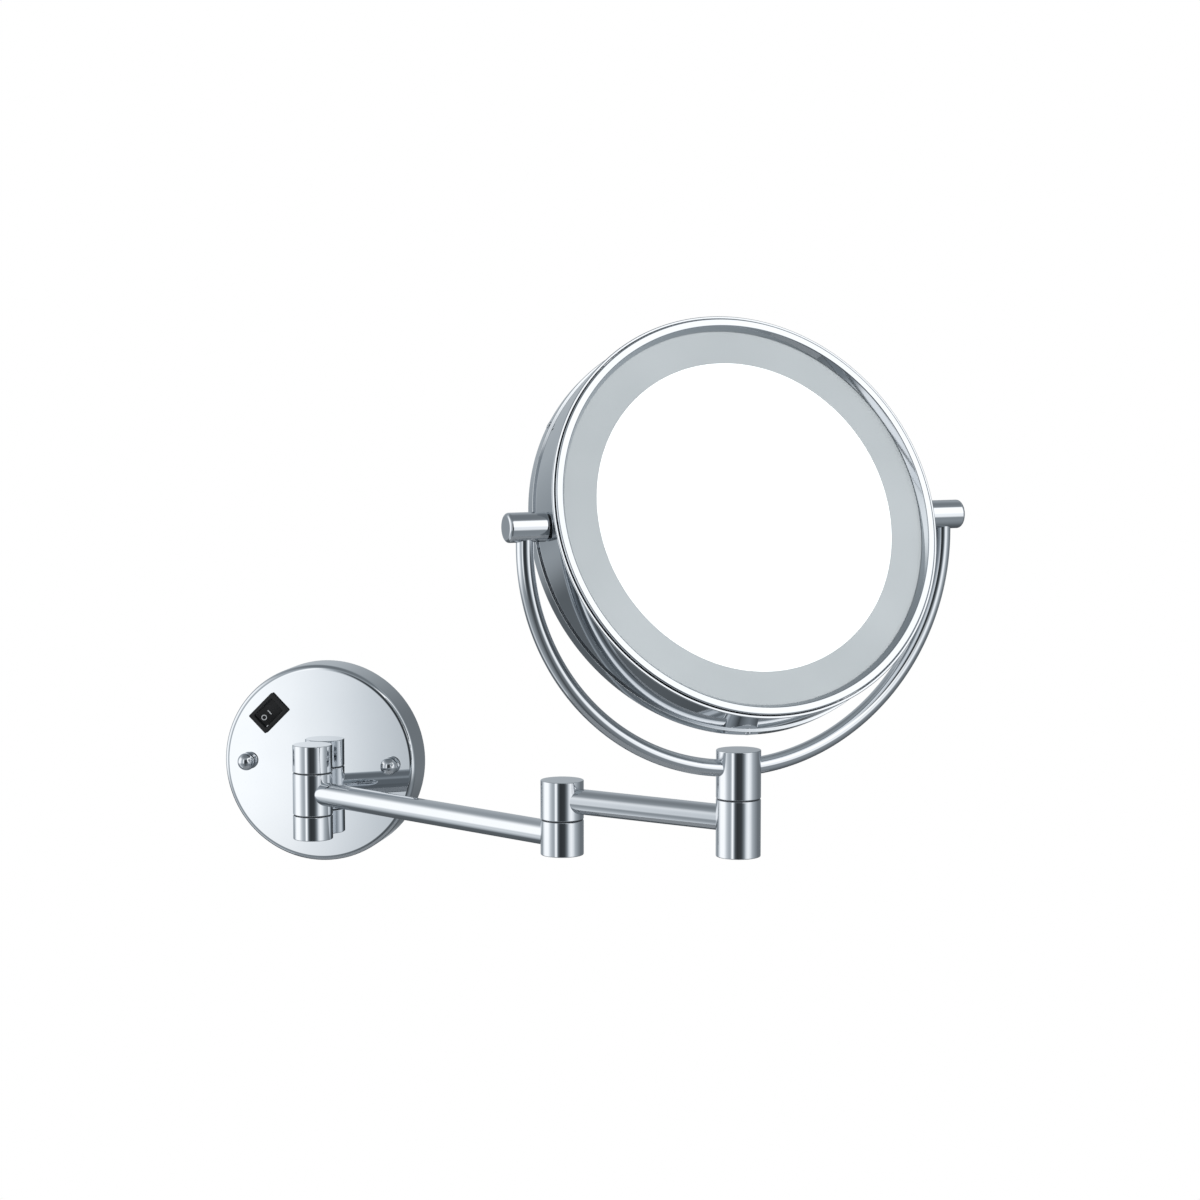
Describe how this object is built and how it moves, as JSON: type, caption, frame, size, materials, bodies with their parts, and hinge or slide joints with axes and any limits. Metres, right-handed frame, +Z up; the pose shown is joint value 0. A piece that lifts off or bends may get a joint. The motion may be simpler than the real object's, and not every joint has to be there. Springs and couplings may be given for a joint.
{
  "type": "extendable wall mirror",
  "caption": "Round lighted two-sided mirror head tilting in a half-ring yoke, on a two-part swing arm with stacked pivot hubs, carried by a round wall canopy with a rocker switch.",
  "frame": {"origin": "centre of the canopy's back face on the wall", "axes": "+Z up, +Y into the wall, +X to the right along the wall as seen by a person who faces it"},
  "size_m": [0.4561, 0.2699, 0.3304],
  "materials": {
    "chrome_plate": "polished chrome plate on brass",
    "polished_case": "polished chrome plate",
    "zinc_steel": "bright zinc-plated steel",
    "brass_parts": "machined brass",
    "black_plastic": "moulded black plastic",
    "white_plastic": "moulded white plastic",
    "nylon": "grey nylon",
    "acetal": "white acetal",
    "frosted_band": "frosted light band",
    "mirror_glass": "silvered glass",
    "rubber_seal": "soft black rubber",
    "circuit_board": "white solder mask",
    "led_emitter": "phosphor-coated light",
    "wire_jacket": "insulated wire"
  },
  "bodies": {
    "wall_mount": {"canopy": "chrome_plate", "wall_bracket": "zinc_steel", "fixing_studs": "zinc_steel", "fixing_nuts": "chrome_plate", "switch_housing": "black_plastic", "switch_terminals": "brass_parts", "rocker_pin": "zinc_steel", "led_driver": "white_plastic", "terminal_block": "white_plastic", "terminal_screws": "brass_parts", "hub_nuts": "zinc_steel", "wall_hub_top": "chrome_plate", "wall_hub_bottom": "chrome_plate", "wall_pivot_screw": "zinc_steel", "canopy_wires": "wire_jacket"},
    "switch_rocker": {"rocker_paddle": "black_plastic"},
    "wall_arm": {"wall_sleeve": "chrome_plate", "wall_upper_bush": "acetal", "wall_floor_bush": "acetal", "wall_thrust_washers": "nylon", "wall_arm_tube": "chrome_plate", "elbow_lower": "chrome_plate", "elbow_lower_cap": "chrome_plate", "elbow_bush": "acetal", "elbow_thrust_washer": "nylon", "wall_arm_wire": "wire_jacket"},
    "front_arm": {"elbow_upper": "chrome_plate", "elbow_pivot_screw": "zinc_steel", "front_arm_tube": "chrome_plate", "swivel_lower": "chrome_plate", "swivel_lower_cap": "chrome_plate", "swivel_bush": "acetal", "swivel_thrust_washer": "nylon", "front_arm_wire": "wire_jacket"},
    "yoke": {"swivel_upper": "chrome_plate", "swivel_pivot_screw": "zinc_steel", "yoke_tube": "chrome_plate", "pivot_knob_left": "chrome_plate", "pivot_knob_right": "chrome_plate", "yoke_wire": "wire_jacket"},
    "head": {"head_case": "polished_case", "front_bezel": "polished_case", "rear_bezel": "polished_case", "front_mirror": "mirror_glass", "light_diffuser": "frosted_band", "reflector_tray": "white_plastic", "led_board": "circuit_board", "leds": "led_emitter", "led_connector": "white_plastic", "mirror_carrier": "white_plastic", "chassis_plate": "zinc_steel", "rear_mirror": "mirror_glass", "front_gasket": "rubber_seal", "rear_gasket": "rubber_seal", "case_screws": "zinc_steel", "tilt_studs": "zinc_steel", "tilt_nuts": "zinc_steel", "friction_washers": "nylon", "head_wire": "wire_jacket"}
  },
  "joints": [
    {"name": "switch_rock", "type": "hinge", "parent": "wall_mount", "child": "switch_rocker", "pos_m": [-0.031, -0.022, 0.03], "axis": [-0.7071, 0, 0.7071], "range_deg": [-14, 0]},
    {"name": "wall_swivel", "type": "hinge", "parent": "wall_mount", "child": "wall_arm", "pos_m": [0, -0.0376, 0], "axis": [0, 0, 1], "range_deg": [-144, 28]},
    {"name": "elbow", "type": "hinge", "parent": "wall_arm", "child": "front_arm", "pos_m": [0.17857, -0.1481, 0], "axis": [0, 0, 1], "range_deg": [-160, 140]},
    {"name": "yoke_swivel", "type": "hinge", "parent": "front_arm", "child": "yoke", "pos_m": [0.28378, -0.18934, 0], "axis": [0, 0, 1], "range_deg": [-190, 80]},
    {"name": "head_tilt", "type": "hinge", "parent": "yoke", "child": "head", "pos_m": [0.28378, -0.18934, 0.1635], "axis": [0.8231, 0.5678, 0], "range_deg": [-160, 200]}
  ]
}
